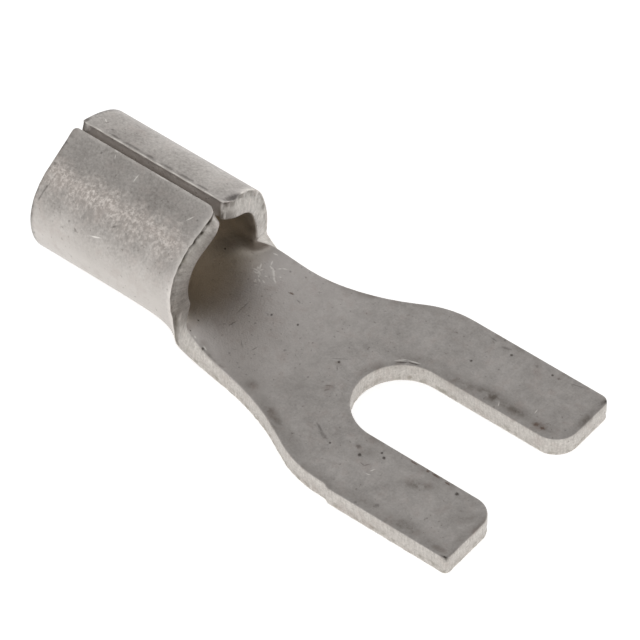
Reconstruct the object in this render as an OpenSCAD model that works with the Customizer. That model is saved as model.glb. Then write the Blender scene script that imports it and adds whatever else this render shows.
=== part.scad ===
// Fork terminal, stamped from one sheet and rolled into a butt-seam barrel.
// Millimetres. The origin is on the stud's axis, in the plane of the underside.
// +X points to the tine tips, +Z up to the seam.

/* [Sheet] */
// Thickness of the sheet
sheet_t = 1.25; // [0.8:0.05:1.6]

/* [Stud fork] */
// Width of the slot that takes the stud
slot_w = 5.3; // [4.3:0.1:6.5]
// Width across both tines
fork_w = 13.7; // [12:0.1:18]
// Distance from the stud's axis to the tine tips
tine_len = 8.25; // [5:0.25:14]
// Corner radius of the tine tips on the slot side
tip_inner_r = 1.3; // [0.6:0.1:2]
// Corner radius of the tine tips on the outside
tip_outer_r = 0.25; // [0.15:0.05:0.8]
// Depth of the trim step beside one tine
trim_step = 0.17; // [0.05:0.01:0.3]
// Distance of the trim step in front of the stud's axis
trim_x = 0.5; // [0.2:0.1:2]

/* [Neck] */
// Narrowest width of the neck, next to the barrel
neck_w = 8.2; // [6.5:0.1:9.5]
// Distance from the flare's rear corner back to the front of the barrel
neck_run = 5; // [4.5:0.1:10]
// Length over which the flat tongue bends up to the barrel's front
bend_run = 3.85; // [3:0.05:4.5]
// Angle of the flare between the neck and the tines
flare_angle = 28; // [20:1:45]
// Distance behind the stud's axis where the flare would meet the tine's side
flare_x = 1.6; // [0.5:0.1:3]
// Radius of the rounded shoulder at the front of the flare
shoulder_r = 7.5; // [2:0.5:10]
// Radius of the hollow at the rear of the flare
hollow_r = 13; // [4:0.5:16]
// Radius between the barrel's front edge and the neck
root_r = 0.5; // [0.3:0.1:0.9]

/* [Barrel] */
// Inside diameter of the barrel
barrel_id = 5.8; // [4.5:0.1:7.5]
// Length of the barrel
barrel_len = 9.6; // [7:0.1:16]
// Depth of the flat that the roll leaves beside the seam, on the side of the trim step
near_flat = 0.42; // [0.1:0.02:0.5]
// Turn of that flat from the seam
near_flat_angle = 30; // [26:1:34]
// Depth of the shallower flat on the other side of the seam
far_flat = 0.21; // [0.05:0.02:0.35]
// Turn of the shallower flat from the seam
far_flat_angle = 22; // [18:1:26]
// Opening of the seam at the outside
seam_outer = 0.6; // [0.4:0.05:1]
// Opening of the seam at the inside
seam_inner = 0.14; // [0.1:0.02:0.3]
// Radius of the seam's corners at the front
seam_front_r = 0.6; // [0.3:0.1:1]
// Radius of the seam's corners at the rear
seam_rear_r = 0.25; // [0.15:0.05:0.6]

/* [Hidden] */
$fn = 96;
tin = [0.62, 0.61, 0.59];

bore_r = barrel_id / 2;
outer_r = bore_r + sheet_t;
mid_r = bore_r + sheet_t / 2;

// the outline's corner points; the two radii of the flare give way where it is too short for them
neck_half = neck_w / 2;
shoulder = [-flare_x, fork_w / 2];
hollow = [-flare_x - (fork_w / 2 - neck_half) / tan(flare_angle), neck_half];
down_flare = [-cos(flare_angle), -sin(flare_angle)];
half_turn = tan(flare_angle / 2);
flare_fit = min(1, 0.95 * norm(shoulder - hollow) / ((hollow_r + shoulder_r) * half_turn));
shoulder_fit = shoulder_r * flare_fit;
straight_neck = 0.2;
hollow_fit = min(hollow_r * flare_fit, (neck_run - root_r - straight_neck) / half_turn);
front_x = hollow[0] - neck_run;
rear_x = front_x - barrel_len;

// the neck's edge in the flat sheet
neck_x = front_x + root_r;
root_s = neck_half + root_r;
wing_reach = 0.9;
wing_s = root_s + wing_reach;
hollow_x = hollow[0] - hollow_fit * half_turn;
flare_start = hollow_x + hollow_fit * sin(flare_angle);
function hollow_y(x) = neck_half + hollow_fit - sqrt(hollow_fit * hollow_fit - pow(x - hollow_x, 2));
function flare_y(x) = neck_half + (x - hollow[0]) * tan(flare_angle);
function neck_y(x) = x > flare_start ? flare_y(x) : x > hollow_x ? hollow_y(x) : neck_half;

// the bend: flat in front of bend_x, fully rolled behind round_x
bend_x = front_x + bend_run;
bend_len = bend_run * 8 / 7;
round_x = front_x - bend_run * 0.65;

// the bent stretch laps over the flat tongue and the barrel's wall, and sinks into them at its ends
lap = 0.35;
rear_lap = 0.3;
front_lap = 0.6;
tongue_x = bend_x - lap;
inset = 0.05;
sink_run = 1;

function ease(v) = let (c = min(max(v, 0), 1)) c * c * (3 - 2 * c);
function rise(v) = v * v / pow(1 + pow(v, 10), 0.2);
function sunk_rear(x) = ease((round_x - x) / sink_run + 1);
function sunk_front(x) = ease((x - tongue_x) / sink_run + 1);
function sunk_wing(s) = ease((abs(s) - wing_s) / sink_run * 1.25 + 1.5);
function half_t(x, s) = sheet_t / 2 - inset * max(sunk_rear(x), sunk_front(x), sunk_wing(s));
function bent(x) = x >= bend_x ? 0 : rise((bend_x - x) / bend_len) / mid_r;
function round_arc(k, r, a) = [r * sin(a), sheet_t / 2 + 1 / k - r * cos(a)];
function flat_line(s, off) = [s, sheet_t / 2 + off];
function arc(k, s, off) = k < 0.0005 ? flat_line(s, off) : round_arc(k, 1 / k - off, k * s * 180 / PI);

// the wings beside the neck turn up to the barrel's round sooner than the bend in the middle
wing_start = root_s - 1.1;
wing_run = 1.6;
wing_lean = 0.8;
function wing(x, s) = ease((abs(s) - wing_start - wing_lean * (x - front_x)) / wing_run);
function mix(a, b, v) = a * (1 - v) + b * v;
function section(x, s, off) = mix(arc(bent(x), s, off), arc(1 / mid_r, s, off), wing(x, s));
function lifted(x, p) = [x, p[0], p[1]];
function skin(x, s, side) = lifted(x, section(x, s, side * half_t(x, s)));

// the neck's edge in the flat sheet: [x, half-width], from inside the barrel's wall to the tongue
neck_end = tongue_x + front_lap;
function rear_at(v) = [mix(round_x - rear_lap, front_x - inset, v), wing_s];
function front_at(v) = [front_x - inset * (1 - v), wing_s + v * (root_s - wing_s)];
function root_at(v) = [front_x + root_r * (1 - cos(90 * v)), root_s - root_r * sin(90 * v)];
function neck_at(v) = let (x = neck_x + v * (neck_end - neck_x)) [x, neck_y(x) - inset * sunk_front(x)];
rear_edge = [for (i = [0:6]) rear_at(i / 6)];
front_edge = [for (i = [1:2]) front_at(i / 3)];
root_edge = [for (i = [0:6]) root_at(i / 6)];
neck_edge = [for (i = [1:9]) neck_at(i / 9)];
edge = concat(rear_edge, front_edge, root_edge, neck_edge);
last_row = len(edge) - 1;
steps = 20;
side_n = (last_row + 1) * (steps + 1);
function centre_x(row) = edge[0][0] + row / last_row * (neck_end - edge[0][0]);
function share(j) = 2 * j / steps - 1;
function row_x(row, j) = centre_x(row) + pow(share(j), 2) * (edge[row][0] - centre_x(row));
function row_s(row, j) = edge[row][1] * share(j);
function at(row, j, side) = side * side_n + row * (steps + 1) + j;
function spot(row, j, side) = skin(row_x(row, j), row_s(row, j), side);
neck_points = [for (side = [1, -1], row = [0:last_row], j = [0:steps]) spot(row, j, side)];
function two(a, b, c, d) = [[a, b, c], [a, c, d]];
function top_quad(r, j) = two(at(r, j, 0), at(r, j + 1, 0), at(r + 1, j + 1, 0), at(r + 1, j, 0));
function low_quad(r, j) = two(at(r, j, 1), at(r + 1, j, 1), at(r + 1, j + 1, 1), at(r, j + 1, 1));
function rim_near(r) = two(at(r, 0, 0), at(r + 1, 0, 0), at(r + 1, 0, 1), at(r, 0, 1));
function rim_far(r) = two(at(r, steps, 0), at(r, steps, 1), at(r + 1, steps, 1), at(r + 1, steps, 0));
function cap_rear(j) = two(at(0, j, 0), at(0, j, 1), at(0, j + 1, 1), at(0, j + 1, 0));
function cap_quad(r, j) = two(at(r, j, 0), at(r, j + 1, 0), at(r, j + 1, 1), at(r, j, 1));
neck_faces = [
  for (r = [0:last_row - 1], j = [0:steps - 1]) each concat(top_quad(r, j), low_quad(r, j)),
  for (r = [0:last_row - 1]) each concat(rim_near(r), rim_far(r)),
  for (j = [0:steps - 1]) each concat(cap_rear(j), cap_quad(last_row, j))
];

// what goes where a square corner at p, with its sides along a and b, is rounded;
// the circle is a hair larger, so that it crosses both sides instead of only touching them
hair = 0.002;
over = 0.1;
module corner(p, a, b, r) {
  difference() {
    polygon([p - (a + b) * over, p + a * r - b * over, p + (a + b) * r, p + b * r - a * over]);
    translate(p + (a + b) * r) circle(r = r + hair);
  }
}

// the slice of a circle that rounds a corner of the flare, from its arc to a little past the chord
function unit(v) = v / norm(v);
module slice(p, a, b, r) {
  inward = unit(a + b);
  along = unit(a - b) * r;
  tip_a = p + a * r * half_turn + along + inward * 3 * over;
  tip_b = p + b * r * half_turn - along + inward * 3 * over;
  intersection() {
    translate(p + inward * r / cos(flare_angle / 2)) circle(r = r + hair);
    polygon([tip_a, tip_b, tip_b - inward * r, tip_a - inward * r]);
  }
}

// the flat outline on one side of the axis, from the neck to the tip
module half_outline() {
  hollow_in = hollow - [hollow_fit * half_turn, 0];
  hollow_out = hollow - down_flare * hollow_fit * half_turn;
  shoulder_in = shoulder + down_flare * shoulder_fit * half_turn;
  shoulder_out = shoulder + [shoulder_fit * half_turn, 0];
  flare = [hollow_in, hollow_out, shoulder_in, shoulder_out];
  tip = [[tine_len, fork_w / 2], [tine_len, 0]];
  difference() {
    union() {
      polygon(concat([[front_x, 0], [front_x, neck_half]], flare, tip));
      slice(shoulder, down_flare, [1, 0], shoulder_fit);
    }
    slice(hollow, [-1, 0], -down_flare, hollow_fit);
    corner([tine_len, fork_w / 2], [-1, 0], [0, -1], tip_outer_r);
  }
}

module fork() {
  linear_extrude(sheet_t) difference() {
    union() {
      half_outline();
      mirror([0, 1]) half_outline();
    }
    circle(r = slot_w / 2);
    translate([0, -slot_w / 2]) square([tine_len + 1, slot_w]);
    corner([tine_len, slot_w / 2], [-1, 0], [0, 1], tip_inner_r);
    corner([tine_len, -slot_w / 2], [-1, 0], [0, -1], tip_inner_r);
    translate([-4, -fork_w / 2 - 1]) square([4 + trim_x, 1 + trim_step]);
    translate([front_x - 1, -fork_w]) square([tongue_x - front_x + 1, 2 * fork_w]);
  }
}

module neck() {
  polyhedron(neck_points, neck_faces, convexity = 4);
}

// a cylinder along the barrel's axis
module lengthwise(x, r, length) {
  translate([x, 0, outer_r]) rotate([0, 90, 0]) cylinder(r = r, h = length);
}

// the seam opens outwards, and its sides run on past the wall by half_past on each side
module seam() {
  past = 0.4;
  half_in = seam_inner / 2;
  half_past = half_in + (seam_outer / 2 - half_in) * (1 + past / sheet_t);
  low = bore_r - past;
  top = outer_r + past;
  translate([rear_x - 1, 0, outer_r]) rotate([90, 0, 90]) linear_extrude(barrel_len + 2)
    polygon([[-half_in, low], [half_in, low], [half_past, top], [-half_past, top]]);
}

// what the roll takes off the round, so that a flat of this depth is left at this turn from the seam
module flat(depth, turn) {
  translate([rear_x - 1, 0, outer_r]) rotate([turn, 0, 0])
    translate([0, -outer_r, outer_r - depth]) cube([barrel_len + 2, 2 * outer_r, 2 * depth]);
}

module seam_corners() {
  lip = seam_outer / 2;
  translate([0, 0, outer_r + bore_r / 2]) linear_extrude(outer_r) for (side = [-1, 1]) {
    corner([front_x, side * lip], [-1, 0], [0, side], seam_front_r);
    corner([rear_x, side * lip], [1, 0], [0, side], seam_rear_r);
  }
}

module barrel() {
  wing_z = arc(1 / mid_r, wing_s - lap, 0)[1];
  difference() {
    lengthwise(rear_x, outer_r, barrel_len);
    lengthwise(rear_x - 1, bore_r, barrel_len + 2);
    flat(near_flat, near_flat_angle);
    flat(far_flat, -far_flat_angle);
    seam();
    seam_corners();
    translate([round_x, -2 * outer_r, -1]) cube([barrel_len, 4 * outer_r, 1 + wing_z]);
  }
}

module fork_terminal() {
  color(tin) union() {
    fork();
    neck();
    barrel();
  }
}

fork_terminal();
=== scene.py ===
# %% [markdown]
# A fork terminal is the end of a wire that slips under a screw without taking the screw out. It is
# stamped from flat copper strip, its rear half is rolled up into a barrel for the wire, and then it
# is tinned. This lesson makes it the same way: cut a blank, give its edge the marks of the punch,
# roll it, and coat it. The frame comes first, because it fixes the size and the place of everything.

# %% Load the frame
import math

import bpy
import numpy as np
from mathutils import Matrix, Vector
from mathutils.geometry import delaunay_2d_cdt


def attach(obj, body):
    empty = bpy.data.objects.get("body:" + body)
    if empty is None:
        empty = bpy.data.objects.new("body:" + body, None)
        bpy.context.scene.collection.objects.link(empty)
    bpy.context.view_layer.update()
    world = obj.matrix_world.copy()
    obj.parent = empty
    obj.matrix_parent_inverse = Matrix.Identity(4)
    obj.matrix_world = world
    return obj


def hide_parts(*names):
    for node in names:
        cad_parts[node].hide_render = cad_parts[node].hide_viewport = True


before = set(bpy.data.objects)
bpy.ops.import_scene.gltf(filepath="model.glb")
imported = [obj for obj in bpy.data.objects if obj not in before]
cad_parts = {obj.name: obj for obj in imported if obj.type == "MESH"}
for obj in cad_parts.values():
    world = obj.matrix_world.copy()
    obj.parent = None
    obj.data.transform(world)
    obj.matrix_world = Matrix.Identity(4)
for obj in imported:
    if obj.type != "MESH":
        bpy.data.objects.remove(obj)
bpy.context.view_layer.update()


# %% [markdown]
# The barrel is strip that was wound almost into a tube, with an open seam where its two wings meet on
# top. A cylinder with a slit would be quicker, but a pressed roll isn't quite round: the last stretch
# of each wing stays flatter. So each wing is a short list of arcs, and their lengths tell how wide the
# blank has to be. The near wing is the one towards -Y. Sizes are in mm until the mesh is made.

# %% The strip and the barrel's roll
strip = 1.25

near_roll = ((4.2, 90), (3.2, 60))
near_flank = 2.64
far_roll = ((4.1, 90), (3.88, 60), (6.7, 16))
far_flank = 0.21


def roll_steps(arcs, flank):
    """Turns (outside radius, degrees) and a flat end into (length, curvature) of the middle line."""
    steps = []
    for radius, turn in arcs:
        middle = radius - strip / 2
        steps.append((math.radians(turn) * middle, 1 / middle))
    steps.append((flank, 0.0))
    return steps


near_steps = roll_steps(near_roll, near_flank)
far_steps = roll_steps(far_roll, far_flank)
near_lip = sum(length for length, bend in near_steps)
far_lip = sum(length for length, bend in far_steps)
print("width of the blank at the barrel:", round(near_lip + far_lip, 2), "mm")

# %% [markdown]
# The blank is one flat outline. Drawn by hand it would be a curve object with many handles. It is
# easier to write down its sharp corners, each with the radius that rounds it, as on a tool drawing.
# x runs along the terminal and s across the sheet, so the wings that will become the barrel lie flat
# out to the sides. The two sides differ a little, as they do on the real stamping.

# %% The blank's corners
slot_half = 2.65
tip_x = 8.25
tine_s = 6.85
trim_s = tine_s - 0.17
rear_x = -21.36
near_front, far_front = -11.83, -12.12
near_neck, near_hollow, near_flare = 3.86, -6.8, math.tan(math.radians(29.95))
far_neck, far_hollow, far_flare = 4.23, -6.79, math.tan(math.radians(29.0))

corners = [
    (rear_x, -near_lip, 0.3),
    (near_front + 0.1, -near_lip, 0.55),
    (near_front - 0.1, -8.4, 8.0),
    (near_front + 0.05, -near_neck, 0.7),
    (near_hollow, -near_neck, 14.5),
    (near_hollow + (trim_s - near_neck) / near_flare, -trim_s, 6.5),
    (0.22, -trim_s, 0.3),
    (0.58, -tine_s, 0.3),
    (tip_x, -tine_s, 0.3),
    (tip_x, -slot_half, 1.25),
    (-slot_half, -slot_half, slot_half - 0.001),
    (-slot_half, slot_half, slot_half - 0.001),
    (tip_x, slot_half, 1.4),
    (tip_x, tine_s, 0.5),
    (far_hollow + (tine_s - far_neck) / far_flare, tine_s, 5.7),
    (far_hollow, far_neck, 13.5),
    (far_front + 0.1, far_neck, 0.25),
    (far_front - 0.1, 6.3, 3.0),
    (far_front + 0.45, far_lip, 0.4),
    (rear_x, far_lip, 0.16),
]


def rounded(corners, degrees=4):
    """Rounds every corner of a closed outline by its own radius."""
    points = []
    for index, (x, s, radius) in enumerate(corners):
        corner = np.array((x, s))
        back = np.array(corners[index - 1][:2]) - corner
        onward = np.array(corners[(index + 1) % len(corners)][:2]) - corner
        back, onward = back / np.linalg.norm(back), onward / np.linalg.norm(onward)
        half = math.acos(float(np.clip(back @ onward, -1, 1))) / 2
        middle = corner + (back + onward) / np.linalg.norm(back + onward) * radius / math.sin(half)
        first = corner + back * radius / math.tan(half) - middle
        last = corner + onward * radius / math.tan(half) - middle
        start = math.atan2(first[1], first[0])
        sweep = (math.atan2(last[1], last[0]) - start + math.pi) % (2 * math.pi) - math.pi
        for turn in np.linspace(start, start + sweep, int(abs(math.degrees(sweep)) / degrees) + 3):
            points.append(middle + radius * np.array((math.cos(turn), math.sin(turn))))
    return np.array(points)


def evened(points, spacing):
    """Spaces the points of a closed outline evenly, and says how far along it each one is."""
    closed = np.vstack([points, points[:1]])
    run = np.concatenate([[0], np.cumsum(np.linalg.norm(np.diff(closed, axis=0), axis=1))])
    steps = int(run[-1] / spacing)
    at = np.arange(steps) * run[-1] / steps
    return np.stack([np.interp(at, run, closed[:, axis]) for axis in (0, 1)], -1), at


edge_step = 0.1
blank, along = evened(rounded(corners), edge_step)
ahead = np.roll(blank, -1, 0) - np.roll(blank, 1, 0)
ahead = ahead / np.linalg.norm(ahead, axis=1, keepdims=True)
inward = np.stack([-ahead[:, 1], ahead[:, 0]], -1)
print("blank:", len(blank), "points round an edge of", round(float(along[-1]), 1), "mm")

# %% [markdown]
# A punched edge isn't a plain wall. The punch first pulls the top corner down into a small roll, then
# shears a smooth band, and at last the metal breaks and leaves a rougher band that leans inward, with
# a burr at the bottom. A bevel modifier can't tell these apart, so the edge is written as a profile of
# steps inward and heights, and that profile is swept round the blank. A slow noise makes the break
# start a little higher here and lower there.

# %% The punched edge
def waver(at, spacing, seed):
    """A smooth random wave along the edge, between -1 and 1."""
    knots = np.random.default_rng(seed).uniform(-1, 1, int(at[-1] / spacing) + 2)
    knots[-1] = knots[0]
    return np.interp(at, np.linspace(0, at[-1], len(knots)), knots)


top, low = strip / 2, -strip / 2
edge_roll = 0.1
roll_turns = np.radians((0, 25, 50, 70, 90))
profile = [(edge_roll * (1 - math.sin(q)), top - edge_roll * (1 - math.cos(q))) for q in roll_turns]
profile += [(0.0, 0.2), (0.0, -0.1), (0.03, -0.26), (0.045, -0.42), (0.04, -0.54), (0.02, -0.6), (0.03, low)]

break_height = 0.10 * waver(along, 0.7, 1) + 0.05 * waver(along, 0.2, 2)
break_depth = 0.025 * waver(along, 0.25, 3)

# The lips are the two faces of the seam, and the fronts are the wings' edges towards the tongue.
front_x = -11.77
lips = np.clip(np.abs(inward[:, 1]) * 4 - 3, 0, 1) * (np.abs(blank[:, 1]) > near_lip - 1)
fronts = np.clip(-inward[:, 0] * 3 - 1.2, 0, 1) * (np.abs(blank[:, 0] - front_x) < 1.2)
break_depth = break_depth * (1 - 0.8 * lips)

# Both lean once the strip is bent, and the wings' front corners are drawn in. A mean of seven neighbours
# keeps the lean from changing in steps.
lean = lips * np.where(blank[:, 1] < 0, 0.1, 0.06)
lean = lean - fronts * np.where(blank[:, 1] < 0, 0.19, 0.23)
corner_reach = 0.6
for x, s, more in ((near_front, -near_lip, 0.4), (far_front + 0.4, far_lip, 0.42)):
    lean = lean + more * np.exp(-((blank - (x, s)) ** 2).sum(1) / corner_reach ** 2)
lean = sum(np.roll(lean, shift) for shift in range(-3, 4)) / 7


def unfolded(depth):
    """Eases an offset down where its ring would fold over itself at a tight corner."""
    shortest_step = 0.02
    for _ in range(60):
        ring = blank + inward * depth[:, None]
        step = ((np.roll(ring, -1, 0) - ring) * ahead).sum(1)
        folds = step < shortest_step
        if not folds.any():
            break
        depth = np.where(folds | np.roll(folds, 1), depth * 0.85, depth)
    return depth


rings = []
for inset, height in profile:
    torn = 1.0 if -0.5 < height < 0.1 else 0.0
    ragged = 1.0 if -0.62 < height < -0.2 else 0.0
    depth = np.maximum(0.0, inset + break_depth * ragged) + lean * (height - low) + fronts * 0.04
    placed = blank + inward * unfolded(depth)[:, None]
    rings.append(np.column_stack([placed, height + break_height * torn]))
print("edge profile:", len(profile), "rings")

# %% [markdown]
# This terminal has lain in a box with others, and it shows: specks, scratches, brown spots by the slot
# and a few bright crackled lines on the neck. Such marks are often painted on a texture, but here each
# one is written down like the corners. A stroke is its place on the sheet, its length, its width and
# its turn in degrees. A dot is its place and its size.

# %% The marks of use
def dots(*places):
    """Round marks, each given as (x, s, size), written as strokes."""
    return [(x, s, size, size, 0) for x, s, size in places]


dark_marks = dots(
    (-9.1, 0.6, 0.13), (-7.6, 0.9, 0.13), (-4.3, 0.2, 0.15), (-1.2, -4.4, 0.11), (1.3, -3.3, 0.13),
    (1.6, -3.5, 0.16), (0.5, -4.1, 0.19), (6.0, -3.1, 0.19), (1.0, 4.5, 0.13), (2.4, 6.1, 0.14),
    (4.9, 6.3, 0.12), (-11.6, -2.6, 0.12), (-13.5, 2.8, 0.11), (-11.3, -3.7, 0.1), (-10.2, -3.8, 0.14),
) + [
    (-1.7, 2.2, 0.6, 0.06, 40), (-1.2, 2.5, 0.7, 0.06, 22), (7.8, 2.9, 0.8, 0.13, 40),
    (8.1, -6.75, 0.35, 0.11, 13), (8.15, 6.6, 0.25, 0.16, 80),
]
faint_marks = dots(
    (-10.1, 3.5, 0.1), (-10.3, 1.3, 0.1), (-10.0, -0.2, 0.1), (-6.2, 0.4, 0.08), (-5.6, 2.1, 0.08),
    (-8.1, -3.3, 0.09), (-9.4, -0.4, 0.1), (-4.5, 1.3, 0.1), (-4.9, -1.6, 0.1), (0.1, -3.7, 0.22),
    (-3.1, -5.1, 0.1), (3.3, -6.2, 0.22), (5.8, -5.3, 0.11), (2.3, -6.7, 0.14), (1.5, 6.7, 0.12),
    (2.5, 4.9, 0.1), (3.9, 6.3, 0.18), (5.3, 6.3, 0.14), (7.7, 3.7, 0.11), (-9.1, -2.9, 0.11),
) + [
    (-10.6, 0.1, 1.0, 0.06, 90), (-10.3, -1.2, 0.5, 0.07, 80), (-9.0, -2.0, 0.5, 0.06, -42),
    (-8.3, -1.8, 0.4, 0.06, 76), (-8.6, 2.2, 0.25, 0.08, -11), (-7.0, -0.9, 0.16, 0.12, 30),
    (8.1, 6.5, 0.6, 0.24, 80), (-2.3, -3.9, 0.7, 0.12, -28), (-1.8, -4.2, 0.65, 0.22, -23),
    (1.0, -4.5, 0.3, 0.07, -8), (1.2, -4.4, 0.35, 0.07, 60), (-4.4, 0.4, 0.9, 0.05, 34),
    (-4.1, -0.2, 0.3, 0.06, -50), (-3.7, -1.4, 0.33, 0.08, 34), (-3.6, -1.7, 0.24, 0.08, 53),
    (1.0, 6.4, 0.4, 0.08, -6), (1.9, 6.3, 0.55, 0.15, 18), (6.3, 6.5, 0.8, 0.05, 15),
]
brown_marks = [
    (-9.2, 2.4, 0.3, 0.1, 8), (3.0, -2.8, 0.4, 0.09, 0), (3.9, -2.8, 0.16, 0.16, 0),
    (4.4, -2.8, 0.45, 0.11, 0), (5.2, -2.85, 0.3, 0.09, 0), (6.3, 3.1, 0.3, 0.26, 0),
    (6.7, 3.1, 0.25, 0.2, 0),
]
brown_stains = [
    (-4.75, -4.7, 0.9, 0.5, -30), (-6.75, -3.8, 0.5, 0.35, 0), (-4.3, 0.1, 0.4, 0.32, 0),
    (-3.6, -1.5, 0.7, 0.4, 40), (0.1, -3.7, 0.35, 0.3, 0), (6.5, 3.1, 0.9, 0.5, 5), (7.6, -6.5, 0.8, 0.3, 5),
]
light_marks = dots(
    (-11.5, 2.7, 0.13), (-11.35, 2.45, 0.11), (-10.75, 3.0, 0.11), (-10.5, 2.65, 0.1), (-11.2, 2.0, 0.1),
    (-10.9, -3.7, 0.12),
) + [
    (-11.3, 2.7, 0.18, 0.07, 60), (-11.2, 2.3, 0.2, 0.07, -70), (-10.9, 2.5, 0.14, 0.07, 20),
    (-10.6, 3.3, 0.16, 0.07, 50), (-10.3, 2.9, 0.12, 0.07, -20), (-11.0, 1.75, 0.12, 0.07, 40),
    (-11.45, 2.85, 0.42, 0.08, -72), (-11.55, 2.55, 0.32, 0.08, 8), (-11.3, 2.5, 0.33, 0.1, -34),
    (-11.45, 2.4, 0.24, 0.07, 0), (-11.05, 2.1, 0.3, 0.08, -39), (-11.15, 1.9, 0.2, 0.07, 14),
    (-10.8, 2.15, 0.2, 0.08, -14), (-10.95, 3.1, 0.24, 0.08, -11), (-10.7, 2.9, 0.52, 0.1, -48),
    (-10.4, 2.55, 0.33, 0.08, -34), (-11.1, 3.35, 0.24, 0.07, -79), (-11.2, 3.9, 0.2, 0.07, 14),
    (-10.4, 3.45, 0.22, 0.07, 27), (1.65, -4.5, 0.26, 0.07, 68), (1.65, -4.85, 0.2, 0.06, 14),
    (5.75, 3.8, 0.28, 0.05, -81), (3.95, 3.0, 0.22, 0.06, -63), (-1.85, 2.3, 0.6, 0.07, 42),
    (-1.25, 2.6, 0.6, 0.07, 18), (-10.15, -3.7, 0.24, 0.11, -11),
]

# Each kind of mark has a list for every strength it comes in, where 1 hides the tin completely.
top_marks = {
    "dark": ((dark_marks, 0.9), (faint_marks, 0.42)),
    "brown": ((brown_marks, 0.75), (brown_stains, 0.22)),
    "light": ((light_marks, 0.62),),
}


def listed(kinds):
    """All marks of a table of kinds, in one list."""
    return [mark for groups in kinds.values() for marks, _ in groups for mark in marks]


print("marks on the upper face:", len(listed(top_marks)))

# %% [markdown]
# The barrel has its own marks, on the face that is outside after rolling. Light and shade are painted
# along its lips: dark streaks of painted shade and bright bits of painted highlight run along the far lip,
# and a few bright ones along the near lip. These are placed from the lips, so that they stay on the seam
# if the roll changes. The far wing's front corner took a knock: the dent is pressed into the mesh, and
# the dark gash in it is painted shade.

# %% The marks on the barrel
lip_shade_streaks = (
    (-19.3, 0.6, 0.14), (-18.05, 1.3, 0.18), (-16.95, 0.6, 0.2), (-15.7, 0.8, 0.16), (-14.6, 1.1, 0.18),
    (-13.45, 0.8, 0.14),
)
barrel_dark = dots(
    (-19.2, -10.4, 0.12), (-18.9, -6.8, 0.1), (-12.4, -9.9, 0.11), (-21.15, -8.7, 0.16), (-19.8, 10.2, 0.13),
) + [
    (-18.4, -6.6, 0.22, 0.09, 27), (-16.3, -7.6, 0.33, 0.1, -34), (-21.0, -7.1, 0.4, 0.09, -72),
    (-20.9, -7.5, 0.55, 0.09, -72), (-21.25, 10.5, 0.5, 0.2, 90),
]
# Painted shade: dark streaks just inside the far lip.
barrel_dark += [(x, far_lip - 0.25, length, width, 0) for x, length, width in lip_shade_streaks]
# Painted shade in the knocked dent at the far wing's front corner.
dent_shade = [(-11.95, 10.0, 1.1, 0.3, -80), (-11.85, 9.5, 0.7, 0.14, -82)]

far_shine = ((-20.3, 0.5), (-18.9, 0.7), (-17.3, 0.6), (-16.2, 0.5), (-15.1, 0.5), (-14.0, 0.7), (-12.9, 0.6))
near_shine = ((-18.5, 0.2), (-15.4, 0.8))
barrel_light = [
    (-16.7, -10.2, 0.45, 0.07, -84), (-18.4, -10.6, 0.22, 0.06, 63), (-17.1, -6.8, 0.65, 0.06, -15),
    (-12.8, -9.8, 0.4, 0.06, -54), (-20.6, 9.8, 0.33, 0.06, 34),
]
# Painted highlight: thin bright bits along the edges of the far and near lips.
barrel_light += [(x, far_lip - 0.08, length, 0.07, 0) for x, length in far_shine]
barrel_light += [(x, 0.07 - near_lip, length, 0.06, 0) for x, length in near_shine]

outer_marks = {"dark": ((barrel_dark, 0.5), (dent_shade, 0.7)), "light": ((barrel_light, 0.7),)}
print("marks on the barrel:", len(listed(outer_marks)))

# %% [markdown]
# A mark has to end up in the mesh. One shader node for each would soon be too many, so the mesh's own
# points carry the marks, as weights do in weight painting. That needs points that lie close enough, so
# each mark brings a patch of fine ones. A little randomness at the rim keeps a mark from looking stamped.

# %% Points that carry the marks
# A patch reaches 0.7 of the mark's length and width either way, with points 0.06 mm apart along it. A mark
# fades out over 0.7 of its half width, and is gone at 1.35 of it.
patch_share = 0.7
patch_step = 0.06
patch_rows = 5
rim_end, rim_fade = 1.35, 0.7


def reach(points, mark):
    """How far points are from a mark's middle, where 1 is its rim."""
    x, s, length, width, turn = mark
    cos, sin = math.cos(math.radians(turn)), math.sin(math.radians(turn))
    from_x, from_s = points[:, 0] - x, points[:, 1] - s
    lengthwise = from_x * cos + from_s * sin
    crosswise = from_s * cos - from_x * sin
    return np.hypot(lengthwise / length * 2, crosswise / width * 2)


def patch(mark):
    """Fine points over a mark and a little beyond it."""
    x, s, length, width, turn = mark
    cos, sin = math.cos(math.radians(turn)), math.sin(math.radians(turn))
    columns = max(patch_rows, int(length * 2 * patch_share / patch_step))
    u, v = np.meshgrid(np.linspace(-patch_share, patch_share, columns) * length,
                       np.linspace(-patch_share, patch_share, patch_rows) * width)
    u, v = u.ravel(), v.ravel()
    return np.column_stack([x + u * cos - v * sin, s + u * sin + v * cos])


def cover(points, groups, seed):
    """How strongly the marks of some groups cover each point, from 0 to 1."""
    covered = np.zeros(len(points))
    uneven = np.random.default_rng(seed).uniform(0.8, 1.25, len(points))
    for marks, strength in groups:
        for mark in marks:
            inside_rim = np.clip((rim_end - reach(points, mark) * uneven) / rim_fade, 0, 1)
            covered = np.maximum(covered, strength * inside_rim)
    return covered


print("fine points for a 1 mm scratch:", len(patch((0.0, 0.0, 1.0, 0.06, 0))))

# %% [markdown]
# The two faces of the blank are filled with triangles. Blender can fill a loop with one big polygon,
# but that couldn't be rolled up. A constrained Delaunay fill takes the loop and a grid of points inside
# it, so the faces bend smoothly and the loop still meets the edge rings point for point.

# %% Fill the faces
def inside(points, loop):
    """True for points inside the closed loop."""
    hits = np.zeros(len(points), bool)
    for a, b in zip(loop, np.roll(loop, -1, 0)):
        crosses = (a[1] > points[:, 1]) != (b[1] > points[:, 1])
        if crosses.any():
            cut_at = a[0] + (points[crosses, 1] - a[1]) * (b[0] - a[0]) / (b[1] - a[1])
            hits[crosses] ^= points[crosses, 0] < cut_at
    return hits


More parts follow.
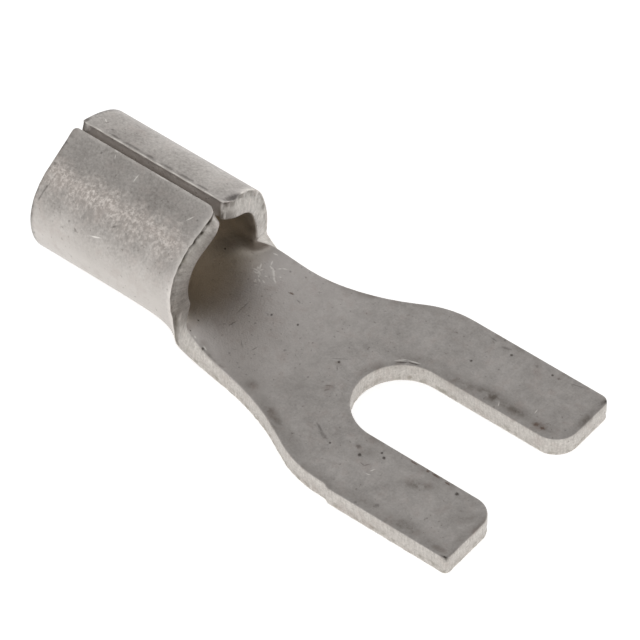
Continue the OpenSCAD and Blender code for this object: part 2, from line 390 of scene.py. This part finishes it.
def far_from(points, loop):
    """Each point's distance to the nearest point of the loop, worked out in blocks to save memory."""
    block = 2000
    nearest = np.empty(len(points))
    for start in range(0, len(points), block):
        gap = points[start:start + block, None] - loop[None]
        nearest[start:start + block] = np.sqrt((gap ** 2).sum(-1).min(1))
    return nearest


# A triangular grid, whose rows lie 0.866 of a step apart. It leaves room round the marks, and the fine
# points of the marks keep a little clear of the loop.
grid_step = 0.22
row_share = 0.866
mark_clear = 1.8
fine_clear = 0.03


def filled(loop, marks):
    """Points inside the loop, closer at the marks, and triangles over the loop and the points."""
    lowest, highest = loop.min(0), loop.max(0)
    columns = np.arange(lowest[0], highest[0], grid_step)
    rows = np.arange(lowest[1], highest[1], grid_step * row_share)
    grid = np.array([(x + grid_step / 2 * (n % 2), s) for n, s in enumerate(rows) for x in columns])
    for mark in marks:
        grid = grid[reach(grid, mark) > mark_clear]
    grid = grid[inside(grid, loop)]
    grid = grid[far_from(grid, loop) > grid_step * 0.6]
    fine = np.vstack([patch(mark) for mark in marks])
    fine = fine[inside(fine, loop)]
    fine = fine[far_from(fine, loop) > fine_clear]
    grid = np.vstack([grid, fine])
    points = np.vstack([loop, grid])
    edges = [(i, (i + 1) % len(loop)) for i in range(len(loop))]
    _, _, found, origin, _, _ = delaunay_2d_cdt([Vector(p) for p in points], edges, [], 1, 1e-6)
    return grid, np.array([[origin[corner][0] for corner in face] for face in found])


top_grid, top_triangles = filled(rings[0][:, :2], listed(top_marks))
low_grid, low_triangles = filled(rings[-1][:, :2], listed(outer_marks))
print("faces:", len(top_triangles), "triangles on top,", len(low_triangles), "below")

# %% [markdown]
# Now the blank is put together as one closed list of points, still flat: the edge rings first, then the
# upper face's own points, then the lower face's. Bridging loops in the editor would do the same, but here
# the numbering is known, so the faces can be written directly. The knock on the far wing is pressed in
# while the sheet is flat, because there its place is simple to say.

# %% Put the flat sheet together
count = len(blank)
flat = np.vstack(rings + [np.column_stack([top_grid, np.full(len(top_grid), top)]),
                          np.column_stack([low_grid, np.full(len(low_grid), low)])])
top_first = len(rings) * count
low_first = top_first + len(top_grid)
last_ring = (len(rings) - 1) * count

faces = [tuple(int(i) if i < count else int(i) - count + top_first for i in t) for t in top_triangles]
for triangle in low_triangles:
    ids = [int(i) + last_ring if i < count else int(i) - count + low_first for i in triangle]
    faces.append(tuple(reversed(ids)))
for ring in range(len(rings) - 1):
    a, b = ring * count, (ring + 1) * count
    for i in range(count):
        j = (i + 1) % count
        faces.append((a + i, b + i, b + j, a + j))

dent_x, dent_s, dent_deep = -11.9, 10.05, 0.16
dent = np.exp(-((flat[:, 0] - dent_x) / 0.22) ** 2 - ((flat[:, 1] - dent_s) / 0.38) ** 2)
flat[:, 2] += dent_deep * dent * np.clip(-flat[:, 2] / 0.4, 0, 1)
print("sheet:", len(flat), "points,", len(faces), "faces")

# %% [markdown]
# Every point also keeps what it knows about its place on the sheet: how far it is from the cut edge, how
# far along it, and whether it lies on the cut. The finish needs that later, when the sheet is no longer
# flat. The cut faces are painted darker under the burr of the rolled fronts, as painted shade, and also at
# the rear rim and at the seam's rear end, so each of these runs is written as a strength, a stretch of the
# edge and the rings that it darkens.

# %% What each point knows
def ease(v):
    """A smooth step from 0 to 1."""
    v = np.clip(v, 0, 1)
    return v * v * (3 - 2 * v)


off_rings = np.zeros(len(flat) - top_first)
ring_of = np.repeat(np.arange(len(rings)), count)
from_edge = np.concatenate([np.zeros(top_first), far_from(top_grid, blank), far_from(low_grid, blank)])
on_cut = np.concatenate([np.isin(ring_of, range(3, 11)), off_rings])
edge_run = np.concatenate([np.tile(along, len(rings)), off_rings])
lip_face = np.concatenate([np.tile(lips, len(rings)) * np.isin(ring_of, range(3, 10)), off_rings])
# Where a bright line is painted along the burr: a painted highlight at the lower rim.
burr = np.exp(-from_edge / 0.1) * (flat[:, 2] < -0.55) * (flat[:, 0] > rear_x + 0.2)

across = blank[:, 1]
near_front_run = fronts * ease((near_lip - 0.1 + across) / 0.3) * ease((-across - 6.9) / 1.2)
near_ends = fronts * (across < 0) * (1 - np.exp(-((across + 7.8) / 2.2) ** 2))
far_front_run = fronts * ease((across - 4.5) / 0.8)
seam_end = np.exp(-((blank - (rear_x, far_lip)) ** 2).sum(1) / 0.35 ** 2)
rear_rim = np.clip(inward[:, 0] * 3 - 2, 0, 1) * (blank[:, 0] < rear_x + 0.3)
# Rings count from the top: 0 to 4 are the rolled corner, 5 and 6 the sheared band, 7 to 11 the break.
# Painted shade: these runs darken the cut faces, most of all under the burr.
shaded_runs = (
    (1.0, near_front_run, (8, 9)),
    (0.5, far_front_run, range(7, 11)),
    (0.3, far_front_run, range(3, 7)),
    (0.4, near_ends, range(3, 11)),
    (1.1, seam_end, range(3, 11)),
    (0.55, rear_rim, range(9, 12)),
)
under_burr = np.zeros(len(flat))
for strength, run, on_rings in shaded_runs:
    under_burr[:top_first] += strength * np.tile(run, len(rings)) * np.isin(ring_of, on_rings)
print("points on the cut:", int(on_cut.sum()), "and under the burr:", int((under_burr > 0.1).sum()))

# %% [markdown]
# Handling leaves soft grey smudges, most of them along the slot and the tines' edges, and the hollow
# where the far wing leaves the neck is darkened with painted shade. They have no rim, so they fade out
# over their whole length, and the coarse points of the fill are enough. Each smudge is a stroke with a
# strength.

# %% Smudges and painted shade
smudges = (
    (4.1, -3.8, 1.5, 0.5, 30, 0.9), (5.2, -6.4, 1.8, 0.6, 4, 0.8), (1.6, 3.0, 2.0, 0.6, 7, 0.8),
    (3.3, 3.2, 1.7, 0.6, 3, 1.1), (4.8, 3.2, 1.9, 0.55, 4, 0.95), (6.5, 3.2, 1.4, 0.5, 3, 0.6),
    (-6.8, -3.8, 0.8, 0.6, 9, 0.6), (-1.9, 1.5, 2.2, 0.4, 84, 0.6), (-1.3, 2.8, 1.6, 0.4, 25, 0.7),
    (0.7, -3.7, 0.9, 0.6, 39, 0.5), (7.5, -4.0, 1.6, 0.5, 46, 0.5), (8.1, 5.0, 2.0, 0.4, 88, 0.9),
    (-4.3, -4.9, 3.2, 0.5, -23, 0.7), (2.4, -6.4, 2.0, 0.5, 3, 0.55), (7.2, -6.5, 1.6, 0.45, 0, 0.55),
    (8.0, -5.2, 1.8, 0.4, 90, 0.5),
)
# Painted shade: the hollow where the far wing leaves the neck is darkened.
corner_shade_at, corner_shade_strength = (-12.85, 3.4, 2.8, 1.0, 27), 0.75
fade = 0.8
on_top = flat[:, 2] > 0.4
smudge = np.zeros(len(flat))
for *mark, strength in smudges:
    smudge = np.maximum(smudge, strength * np.exp(-(fade * reach(flat, mark)) ** 2) * on_top)
corner_shade = corner_shade_strength * np.exp(-(fade * reach(flat, corner_shade_at)) ** 2) * on_top
print("smudges:", len(smudges), "over", int((smudge > 0.1).sum()), "points")

# %% [markdown]
# Rolling could be done with a Simple Deform modifier, but a terminal isn't bent evenly: the tongue stays
# flat, the neck rises as a trough, and the wings close over it. So each cross-section is rolled by a
# short law. The share says how far a section has been rolled at x, from 0 on the tongue to 1 in the
# barrel, and the wings, which are free of the neck, are rolled all the way. The strip keeps its
# thickness, because each face is laid off from the middle line in the section.

# %% Roll the barrel
bend_x = front_x + 4.78
bend_run = 5.71
bend_power = 2.95


def rolled(s, height, steps, share):
    """A point of the strip in a cross-section that is rolled by that share."""
    y, z, angle, start = 0.0, 0.0, 0.0, 0.0
    for number, (length, bend) in enumerate(steps):
        run = np.clip(s - start, 0, length if number < len(steps) - 1 else None)
        bend = np.maximum(bend * share, 1e-7)
        y = y + (np.sin(angle + bend * run) - np.sin(angle)) / bend
        z = z + (np.cos(angle) - np.cos(angle + bend * run)) / bend
        angle = angle + bend * run
        start += length
    return np.stack([y - height * np.sin(angle), z + height * np.cos(angle)], -1)


def roll_up(flat):
    """Takes points of the flat sheet to their places on the terminal."""
    x, s, height = flat.T
    v = np.clip((bend_x - x) / bend_run, 0, None)
    share = v ** bend_power / np.sqrt(1 + v ** (2 * bend_power))
    near = s < 0
    # Each wing stands up out of the neck, and the far one does so over a shorter stretch.
    before = x - np.where(near, near_front + 0.1, far_front + 0.15)
    behind = np.clip(-before, 0, 2)
    span = np.where(near, 0.85 + 2.5 * behind, 1.1 + 1.2 * behind)
    start = np.where(near, near_neck, far_neck) - np.where(near, 0.05 + 2.0 * behind, 0.9 + 1.0 * behind)
    start = start + np.where(near, 0.8 * np.clip(before - 0.6, 0, None), 2.0 * np.clip(before, 0, None))
    wing = ease((np.abs(s) - start) / span)[:, None]
    section = np.zeros((len(flat), 2))
    for side, steps in ((-1, near_steps), (1, far_steps)):
        part = rolled(np.abs(s), height, steps, share) * (1 - wing)
        part = part + rolled(np.abs(s), height, steps, np.ones_like(share)) * wing
        mine = s * side >= 0
        section[mine] = part[mine] * (side, 1)
    return np.column_stack([x, section[:, 0], section[:, 1] + strip / 2])


solid = roll_up(flat)
print("rolled box in mm:", solid.min(0).round(2), solid.max(0).round(2))

# %% [markdown]
# Only now does Blender see the terminal. The points become one mesh in metres, and everything they know
# goes in as named attributes, which a shader can read on any mesh without an unwrap. The flat place on
# the sheet goes in too, because a pattern that is laid out on the flat sheet follows the roll and isn't
# stretched.

# %% Make the terminal's mesh
known = {"from_edge": from_edge, "on_cut": on_cut, "edge_run": edge_run, "under_burr": under_burr,
         "burr": burr, "smudge": smudge, "corner_shade": corner_shade, "lip_face": lip_face}
upper, outer = flat[:, 2] > 0.45, flat[:, 2] < -0.45
for seed, name in enumerate(("dark", "brown", "light")):
    known[name] = cover(flat, top_marks[name], seed) * upper
    known[name] = known[name] + cover(flat, outer_marks.get(name, ()), seed) * outer

mesh = bpy.data.meshes.new("terminal_sheet")
mesh.from_pydata((solid / 1000).tolist(), [], faces)
mesh.shade_smooth()
for name, values in known.items():
    mesh.attributes.new(name, "FLOAT", "POINT").data.foreach_set("value", values.astype(np.float32))
sheet = mesh.attributes.new("sheet", "FLOAT_VECTOR", "POINT")
sheet.data.foreach_set("vector", flat.astype(np.float32).ravel())
terminal = bpy.data.objects.new("terminal_sheet", mesh)
bpy.context.collection.objects.link(terminal)
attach(terminal, "root")
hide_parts("fork_terminal")
print("terminal:", sum(len(face) - 2 for face in faces), "triangles")

# %% [markdown]
# A material is a net of nodes, and building one in a script soon repeats itself. One function that adds
# a node, sets it and links it keeps each line to what matters. Colours are written as the hex codes that
# a colour picker shows, but a shader counts in linear light, so a second function turns them.

# %% Colours and one way to add nodes
def linear(code):
    """An sRGB hex colour as linear RGBA."""
    channels = [int(code[i:i + 2], 16) / 255 for i in (1, 3, 5)]
    return tuple(c / 12.92 if c <= 0.04045 else ((c + 0.055) / 1.055) ** 2.4 for c in channels) + (1.0,)


def add(tree, kind, inputs=None, **settings):
    """Adds one node, sets it, and feeds its inputs with values or with other nodes' outputs."""
    node = tree.nodes.new(kind)
    for name, value in settings.items():
        setattr(node, name, value)
    for name, value in (inputs or {}).items():
        if isinstance(value, bpy.types.NodeSocket):
            tree.links.new(value, node.inputs[name])
        else:
            node.inputs[name].default_value = value
    return node


print("middle grey in linear light:", [round(c, 3) for c in linear("#808080")])

# %% [markdown]
# The finish is matte electroplated tin on copper. Tin is a soft pale metal, so the plating of a part
# that was tumbled in a plating drum looks grey and even from far off, and from near shows fine grain,
# small scratches and dark specks. A metal shows mostly what is around it, so its own colour is light
# and the greys come from the studio. Three noises of different size mix into one tone.

# %% Matte tin plating on copper
tin = bpy.data.materials.new("matte_tin_plated_copper")
tin.use_nodes = True
tree = tin.node_tree
tree.nodes.clear()
sheet_at = add(tree, "ShaderNodeAttribute", attribute_name="sheet").outputs["Vector"]
place = add(tree, "ShaderNodeSeparateXYZ", {0: sheet_at}).outputs
top_skin = add(tree, "ShaderNodeMapRange", {"Value": place["Z"], "From Min": 0.4, "From Max": 0.6}).outputs[0]
outer_skin = add(tree, "ShaderNodeMapRange",
                 {"Value": place["Z"], "From Min": -0.4, "From Max": -0.6}).outputs[0]
in_barrel = add(tree, "ShaderNodeMapRange",
                {"Value": place["X"], "From Min": -11.2, "From Max": -12.8}).outputs[0]
inside_skin = add(tree, "ShaderNodeMath", {0: top_skin, 1: in_barrel}, operation="MULTIPLY").outputs[0]
barrel_skin = add(tree, "ShaderNodeMath", {0: outer_skin, 1: in_barrel}, operation="MULTIPLY").outputs[0]

# Sizes in mm. The sheet attribute is in mm too, so a scale is one over the size. Real plating grain is a
# few thousandths of a millimetre; it is drawn at about two pixels of the render, or it would not show.
mottle_size, cloud_size, grain_size = 1.6, 0.42, 0.11
mottle = add(tree, "ShaderNodeTexNoise",
             {"Vector": sheet_at, "Scale": 1 / mottle_size, "Detail": 3.0}).outputs["Fac"]
cloud = add(tree, "ShaderNodeTexNoise",
            {"Vector": sheet_at, "Scale": 1 / cloud_size, "Detail": 4.0}).outputs["Fac"]
grain = add(tree, "ShaderNodeTexNoise",
            {"Vector": sheet_at, "Scale": 1 / grain_size, "Detail": 2.0}).outputs["Fac"]
clouds = add(tree, "ShaderNodeMath", {0: mottle, 1: cloud}, operation="ADD").outputs[0]
tone = add(tree, "ShaderNodeMath", {0: grain, 1: 0.8, 2: clouds}, operation="MULTIPLY_ADD").outputs[0]
tone = add(tree, "ShaderNodeMapRange", {"Value": tone, "From Min": 1.0, "From Max": 1.8}).outputs[0]

# Sockets 6 and 7 of a colour mix are its two colours. The matte grey gives the eye an even, soft sheen,
# and towards the neck it is painted a little paler: painted light that lifts the shade the barrel puts there.
skin = add(tree, "ShaderNodeMix", {"Factor": tone, 6: linear("#a39e9a"), 7: linear("#bfbab6")},
           data_type="RGBA").outputs[2]
# Painted light: the skin is painted paler towards the neck.
painted_neck_light = add(tree, "ShaderNodeMapRange",
            {"Value": place["X"], "From Min": -4.0, "From Max": -10.0, "To Max": 0.7}).outputs[0]
skin = add(tree, "ShaderNodeMix", {"Factor": painted_neck_light, 6: skin, 7: linear("#cfc9c5")},
           data_type="RGBA").outputs[2]
print("tin, flat face:", len(tree.nodes), "nodes")

# %% [markdown]
# Outside, the barrel's tin is coarser than the tongue's, and along the near flank runs a frosted band that
# glitters with small bright grains, which are painted highlight. A painted mask could place that band.
# Here the distance from a line along the sheet, upset by the clouds, places it and makes its ragged rim.
# The barrel's underside and lower near flank are painted lighter, a painted reflection of the white card.
# Inside, the barrel is plainer and a little warmer: painted light, because little light gets there and it
# bounces off tin again and again.

# %% The rolled barrel
# Grains of about 0.2 mm. The finest octave of this noise is smaller than a pixel and only softens them.
sparkle_size = 0.2
sparkle = add(tree, "ShaderNodeTexNoise",
              {"Vector": sheet_at, "Scale": 1 / sparkle_size, "Detail": 4.0,
               "Roughness": 0.75}).outputs["Fac"]
fine = add(tree, "ShaderNodeMath", {0: mottle, 1: sparkle}, operation="ADD").outputs[0]
fine = add(tree, "ShaderNodeMath", {0: grain, 1: 0.8, 2: fine}, operation="MULTIPLY_ADD").outputs[0]
fine = add(tree, "ShaderNodeMapRange", {"Value": fine, "From Min": 1.0, "From Max": 1.8}).outputs[0]
barrel_tin_and_painted_light = add(tree, "ShaderNodeMix", {"Factor": fine, 6: linear("#99938e"), 7: linear("#c9c4bf")},
             data_type="RGBA").outputs[2]
# Painted reflection: the barrel's underside and lower near flank are painted lighter, as the white card shows
# in them.
low_flank = add(tree, "ShaderNodeMapRange",
                {"Value": place["Y"], "From Min": -7.2, "From Max": -5.2}).outputs[0]
far_off = add(tree, "ShaderNodeMapRange", {"Value": place["Y"], "From Min": 4.0, "From Max": 2.0}).outputs[0]
low_flank = add(tree, "ShaderNodeMath", {0: low_flank, 1: far_off}, operation="MULTIPLY").outputs[0]
barrel_tin_and_painted_light = add(tree, "ShaderNodeMix", {"Factor": low_flank, 6: barrel_tin_and_painted_light, 7: linear("#cbc6c1")},
             data_type="RGBA").outputs[2]

band_s = -8.3
off_band = add(tree, "ShaderNodeMath", {0: place["Y"], 1: -band_s}, operation="ADD").outputs[0]
off_band = add(tree, "ShaderNodeMath", {0: off_band}, operation="ABSOLUTE").outputs[0]
off_band = add(tree, "ShaderNodeMath", {0: cloud, 1: -1.6, 2: off_band}, operation="MULTIPLY_ADD").outputs[0]
band = add(tree, "ShaderNodeMapRange", {"Value": off_band, "From Min": 0.3, "From Max": -0.75}).outputs[0]
# Painted highlight: the brightest grains of the frosted band are painted near-white glints.
frost_glint = add(tree, "ShaderNodeMapRange", {"Value": sparkle, "From Min": 0.44, "From Max": 0.62}).outputs[0]
frost_glinted = add(tree, "ShaderNodeMix", {"Factor": frost_glint, 6: linear("#c4bbb4"), 7: linear("#f8f0e9")},
              data_type="RGBA").outputs[2]
barrel_tin_and_painted_light = add(tree, "ShaderNodeMix", {"Factor": band, 6: barrel_tin_and_painted_light, 7: frost_glinted}, data_type="RGBA").outputs[2]
colour = add(tree, "ShaderNodeMix", {"Factor": barrel_skin, 6: skin, 7: barrel_tin_and_painted_light}, data_type="RGBA").outputs[2]
# Painted light: the inside of the barrel is painted a plain warmer colour, for light that bounces off tin in
# there.
colour = add(tree, "ShaderNodeMix", {"Factor": inside_skin, 6: colour, 7: linear("#c3b9ab")},
             data_type="RGBA").outputs[2]
print("tin, with the barrel:", len(tree.nodes), "nodes")

# %% [markdown]
# The cut faces are tinned like the rest, but they come out a little brighter. Shear marks run across the
# thickness, so their noise follows the run along the edge and hardly changes with height. The broken
# band below is pitted, the faces of the seam are plain, and at the lower rim sit painted shade under the
# burr and a painted highlight, a bright line along the burr.
# A second material on these faces would do, but it would end in a hard line, and attributes fade.

# %% The cut faces
cut_face = add(tree, "ShaderNodeAttribute", attribute_name="on_cut").outputs["Fac"]
run_at = add(tree, "ShaderNodeAttribute", attribute_name="edge_run").outputs["Fac"]
slow_height = add(tree, "ShaderNodeMath", {0: place["Z"], 1: 0.12}, operation="MULTIPLY").outputs[0]
stripes_at = add(tree, "ShaderNodeCombineXYZ", {"X": run_at, "Y": slow_height}).outputs[0]
# Real shear marks are some hundredths of a millimetre apart, so they too are drawn coarser, at 0.1 mm.
stripe_size = 0.1
stripes = add(tree, "ShaderNodeTexNoise",
              {"Vector": stripes_at, "Scale": 1 / stripe_size, "Detail": 2.0}).outputs["Fac"]
sheared = add(tree, "ShaderNodeMath", {0: stripes, 1: grain}, operation="ADD").outputs[0]
sheared = add(tree, "ShaderNodeMath", {0: sheared, 1: sparkle}, operation="ADD").outputs[0]
sheared = add(tree, "ShaderNodeMapRange", {"Value": sheared, "From Min": 1.15, "From Max": 1.85}).outputs[0]
cut_tin = add(tree, "ShaderNodeMix", {"Factor": sheared, 6: linear("#b3aea8"), 7: linear("#d3cec8")},
              data_type="RGBA").outputs[2]
broken = add(tree, "ShaderNodeMapRange",
             {"Value": place["Z"], "From Min": -0.05, "From Max": -0.4}).outputs[0]
pits = add(tree, "ShaderNodeMapRange", {"Value": cloud, "From Min": 0.5, "From Max": 0.68}).outputs[0]
broken = add(tree, "ShaderNodeMath", {0: broken, 1: pits}, operation="MULTIPLY").outputs[0]
cut_tin = add(tree, "ShaderNodeMix", {"Factor": broken, 6: cut_tin, 7: linear("#a09b92")},
              data_type="RGBA").outputs[2]
colour = add(tree, "ShaderNodeMix", {"Factor": cut_face, 6: colour, 7: cut_tin}, data_type="RGBA").outputs[2]

seam_face = add(tree, "ShaderNodeAttribute", attribute_name="lip_face").outputs["Fac"]
colour = add(tree, "ShaderNodeMix", {"Factor": seam_face, 6: colour, 7: linear("#d3ceca")},
             data_type="RGBA").outputs[2]
patchy = add(tree, "ShaderNodeMapRange", {"Value": cloud, "From Min": 0.3, "From Max": 0.6}).outputs[0]
# Painted shade on the cut faces from the runs above, broken up by the clouds.
burr_shade = add(tree, "ShaderNodeAttribute", attribute_name="under_burr").outputs["Fac"]
burr_shade = add(tree, "ShaderNodeMath", {0: burr_shade, 1: patchy}, operation="MULTIPLY").outputs[0]
colour = add(tree, "ShaderNodeMix", {"Factor": burr_shade, 6: colour, 7: linear("#4c463f")},
             data_type="RGBA").outputs[2]
# Painted highlight: a thin bright line along the burr.
burr_highlight = add(tree, "ShaderNodeAttribute", attribute_name="burr").outputs["Fac"]
burr_highlight = add(tree, "ShaderNodeMath", {0: burr_highlight, 1: cloud}, operation="MULTIPLY").outputs[0]
colour = add(tree, "ShaderNodeMix", {"Factor": burr_highlight, 6: colour, 7: linear("#f4efe8")},
             data_type="RGBA").outputs[2]
print("tin, with the cut faces:", len(tree.nodes), "nodes")

# %% [markdown]
# Stains lie on top of the tin and darken it. The smudges come from the points, broken up by the
# clouds so that they look wiped and not sprayed. Near the upper edges the tin is worn a little darker
# here and there, which needs only the distance from the edge and the slow mottle. The painted shade in the
# hollow by the far wing stays smooth.

# %% Stains and painted shade
wiped = add(tree, "ShaderNodeAttribute", attribute_name="smudge").outputs["Fac"]
wiped = add(tree, "ShaderNodeMath", {0: wiped, 1: patchy}, operation="MULTIPLY").outputs[0]
edge_gap = add(tree, "ShaderNodeAttribute", attribute_name="from_edge").outputs["Fac"]
by_edge = add(tree, "ShaderNodeMapRange", {"Value": edge_gap, "From Min": 0.7, "From Max": 0.0}).outputs[0]
worn = add(tree, "ShaderNodeMapRange", {"Value": mottle, "From Min": 0.45, "From Max": 0.65}).outputs[0]
for factor in (worn, top_skin, 0.6):
    by_edge = add(tree, "ShaderNodeMath", {0: by_edge, 1: factor}, operation="MULTIPLY").outputs[0]
stain_and_shade = add(tree, "ShaderNodeMath", {0: by_edge, 1: wiped}, operation="MAXIMUM").outputs[0]
stain_and_shade = add(tree, "ShaderNodeMath", {0: stain_and_shade, 1: 0.95}, operation="MULTIPLY").outputs[0]
# The painted shade of that hollow joins the stains and takes their dark colour.
hollow_corner_shade = add(tree, "ShaderNodeAttribute", attribute_name="corner_shade").outputs["Fac"]
stain_and_shade = add(tree, "ShaderNodeMath", {0: stain_and_shade, 1: hollow_corner_shade}, operation="MAXIMUM").outputs[0]
colour = add(tree, "ShaderNodeMix", {"Factor": stain_and_shade, 6: colour, 7: linear("#6f6861")},
             data_type="RGBA").outputs[2]
print("tin, with the stains:", len(tree.nodes), "nodes")

# %% [markdown]
# Last come the small things. Here and there the tin has a faint warm blush, as if copper showed through,
# and fine specks are scattered over it like pepper. A noise that is cut off near its peaks gives both.
# The marks that were written down go over everything: brown spots, dark specks, bright scratches.

# %% Specks, scratches and spots
# Such a speck is a few hundredths of a millimetre wide. A noise of 0.19 mm has peaks that are just wide
# enough to show.
blush_size, pepper_size = 0.8, 0.19
blush = add(tree, "ShaderNodeTexNoise",
            {"Vector": sheet_at, "Scale": 1 / blush_size, "Detail": 5.0, "Roughness": 0.65}).outputs["Fac"]
blush = add(tree, "ShaderNodeMapRange",
            {"Value": blush, "From Min": 0.52, "From Max": 0.7, "To Max": 0.25}).outputs[0]
colour = add(tree, "ShaderNodeMix", {"Factor": blush, 6: colour, 7: linear("#9a8880")},
             data_type="RGBA").outputs[2]
pepper = add(tree, "ShaderNodeTexNoise",
             {"Vector": sheet_at, "Scale": 1 / pepper_size, "Detail": 2.0}).outputs["Fac"]
pepper = add(tree, "ShaderNodeMapRange",
             {"Value": pepper, "From Min": 0.66, "From Max": 0.74, "To Max": 0.4}).outputs[0]
colour = add(tree, "ShaderNodeMix", {"Factor": pepper, 6: colour, 7: linear("#6a625b")},
             data_type="RGBA").outputs[2]
for name, code in (("brown", "#5e4636"), ("dark", "#453f3a"), ("light", "#f6f2ec")):
    marked = add(tree, "ShaderNodeAttribute", attribute_name=name).outputs["Fac"]
    colour = add(tree, "ShaderNodeMix", {"Factor": marked, 6: colour, 7: linear(code)},
                 data_type="RGBA").outputs[2]
print("tin, with its marks:", len(tree.nodes), "nodes")

# %% [markdown]
# One shader takes it all in. Fully metallic, because tin is a metal, with the index of refraction left
# alone. Matte plating is rough, and a little rougher where its tone is darker, so highlights break up.
# The bump is only the grain, at most two hundredths of a millimetre deep: whatever can be seen as a shape
# is in the mesh.

# %% The tin's shader
grain_deep = 0.00002
roughness = add(tree, "ShaderNodeMapRange", {"Value": tone, "To Min": 0.5, "To Max": 0.4}).outputs[0]
bump = add(tree, "ShaderNodeBump", {"Height": grain, "Strength": 0.5, "Distance": grain_deep})
shader = add(tree, "ShaderNodeBsdfPrincipled", {
    "Base Color": colour, "Normal": bump.outputs[0], "Metallic": 1.0, "Roughness": roughness})
add(tree, "ShaderNodeOutputMaterial", {"Surface": shader.outputs[0]})
mesh.materials.append(tin)
print("tin:", len(tree.nodes), "nodes")

# %% [markdown]
# The terminal lies on a white card, as in a catalogue. Plain paper would come out light grey in this
# light. More lamps would make it white, but they would also wash out the metal. So the card glows a
# little, and a Light Path node keeps that glow to what the camera sees, directly or mirrored in the tin.
# The card still takes the soft shadow under the barrel.

# %% The white card
card_half = 0.6
card_glow = 0.6
below = 0.00002
card_corners = [(x * card_half, y * card_half, 0) for x, y in ((-1, -1), (1, -1), (1, 1), (-1, 1))]
floor_mesh = bpy.data.meshes.new("white_card")
floor_mesh.from_pydata(card_corners, [], [(0, 1, 2, 3)])
floor = bpy.data.objects.new("white_card", floor_mesh)
floor.location.z = -below
bpy.context.collection.objects.link(floor)

card = bpy.data.materials.new("white_card")
card.use_nodes = True
lit = card.node_tree
lit.nodes.clear()
# Matte paper has no highlight, so the eye finds nothing on it but the shadow.
paper = add(lit, "ShaderNodeBsdfDiffuse", {"Color": linear("#f2f2f2")})
path = add(lit, "ShaderNodeLightPath").outputs
seen = add(lit, "ShaderNodeMath", {0: path["Is Camera Ray"], 1: path["Is Glossy Ray"]}, operation="MAXIMUM")
seen = add(lit, "ShaderNodeMath", {0: seen.outputs[0], 1: path["Is Transmission Ray"]}, operation="MAXIMUM")
shine = add(lit, "ShaderNodeMath", {0: seen.outputs[0], 1: card_glow}, operation="MULTIPLY")
glow = add(lit, "ShaderNodeEmission", {"Strength": shine.outputs[0]})
both = add(lit, "ShaderNodeAddShader", {0: paper.outputs[0], 1: glow.outputs[0]})
add(lit, "ShaderNodeOutputMaterial", {"Surface": both.outputs[0]})
floor_mesh.materials.append(card)
print("white card:", round(2 * card_half, 2), "m wide")

# %% [markdown]
# Small shiny things are often photographed in a tent of white cloth. Area lamps would leave hard bright
# shapes in the metal, so the world itself is the tent: bright at the horizon and dimmer overhead, as if
# it were open at the top. That gives the flat tongue its middle grey, while the edges and the barrel's
# flanks pick up the white.

# %% The light tent
side_light, top_light = 1.0, 0.62
world = bpy.data.worlds.new("light_tent")
bpy.context.scene.world = world
world.use_nodes = True
sky = world.node_tree
sky.nodes.clear()
heading = add(sky, "ShaderNodeTexCoord").outputs["Generated"]
rise = add(sky, "ShaderNodeSeparateXYZ", {0: heading}).outputs["Z"]
brightness = add(sky, "ShaderNodeMapRange", {
    "Value": rise, "From Min": 0.1, "From Max": 0.6, "To Min": side_light, "To Max": top_light},
    interpolation_type="SMOOTHSTEP").outputs[0]
tent = add(sky, "ShaderNodeBackground", {"Strength": brightness, "Color": (1.0, 1.0, 1.0, 1.0)})
add(sky, "ShaderNodeOutputWorld", {"Surface": tent.outputs[0]})
print("light tent:", side_light, "at the sides,", top_light, "overhead")

# %% [markdown]
# The camera stands as in the photo: before the tines, on the near side, looking down at nearly 50 degrees.
# It stands well back and has a long lens, so that lines stay almost parallel. A Track To constraint could
# point it, but the picture's centre isn't the object's origin, so the camera is first set square on and
# then swung to its aim.

# %% The camera
azimuth, elevation = math.radians(38.31), math.radians(48.69)
distance = 0.3145
aim_right, aim_up = -0.004217, 0.005097
toward = Vector((math.sin(azimuth) * math.cos(elevation), -math.cos(azimuth) * math.cos(elevation),
                 math.sin(elevation)))
right = Vector((math.cos(azimuth), math.sin(azimuth), 0))
up = toward.cross(right)
aim = right * aim_right + up * aim_up

lens = bpy.data.cameras.new("camera")
lens.sensor_width = 36.0
lens.lens = 343.8
lens.clip_start = 0.01
camera = bpy.data.objects.new("camera", lens)
camera.location = toward * distance
square_on = Matrix((right, up, toward)).transposed().to_quaternion()
swing = (-toward).rotation_difference(aim - camera.location)
camera.rotation_euler = (swing @ square_on).to_euler()
bpy.context.collection.objects.link(camera)
bpy.context.scene.camera = camera
bpy.context.scene.view_settings.view_transform = "Standard"
print("camera:", round(math.degrees(elevation), 1), "degrees up, lens", round(lens.lens, 1), "mm")
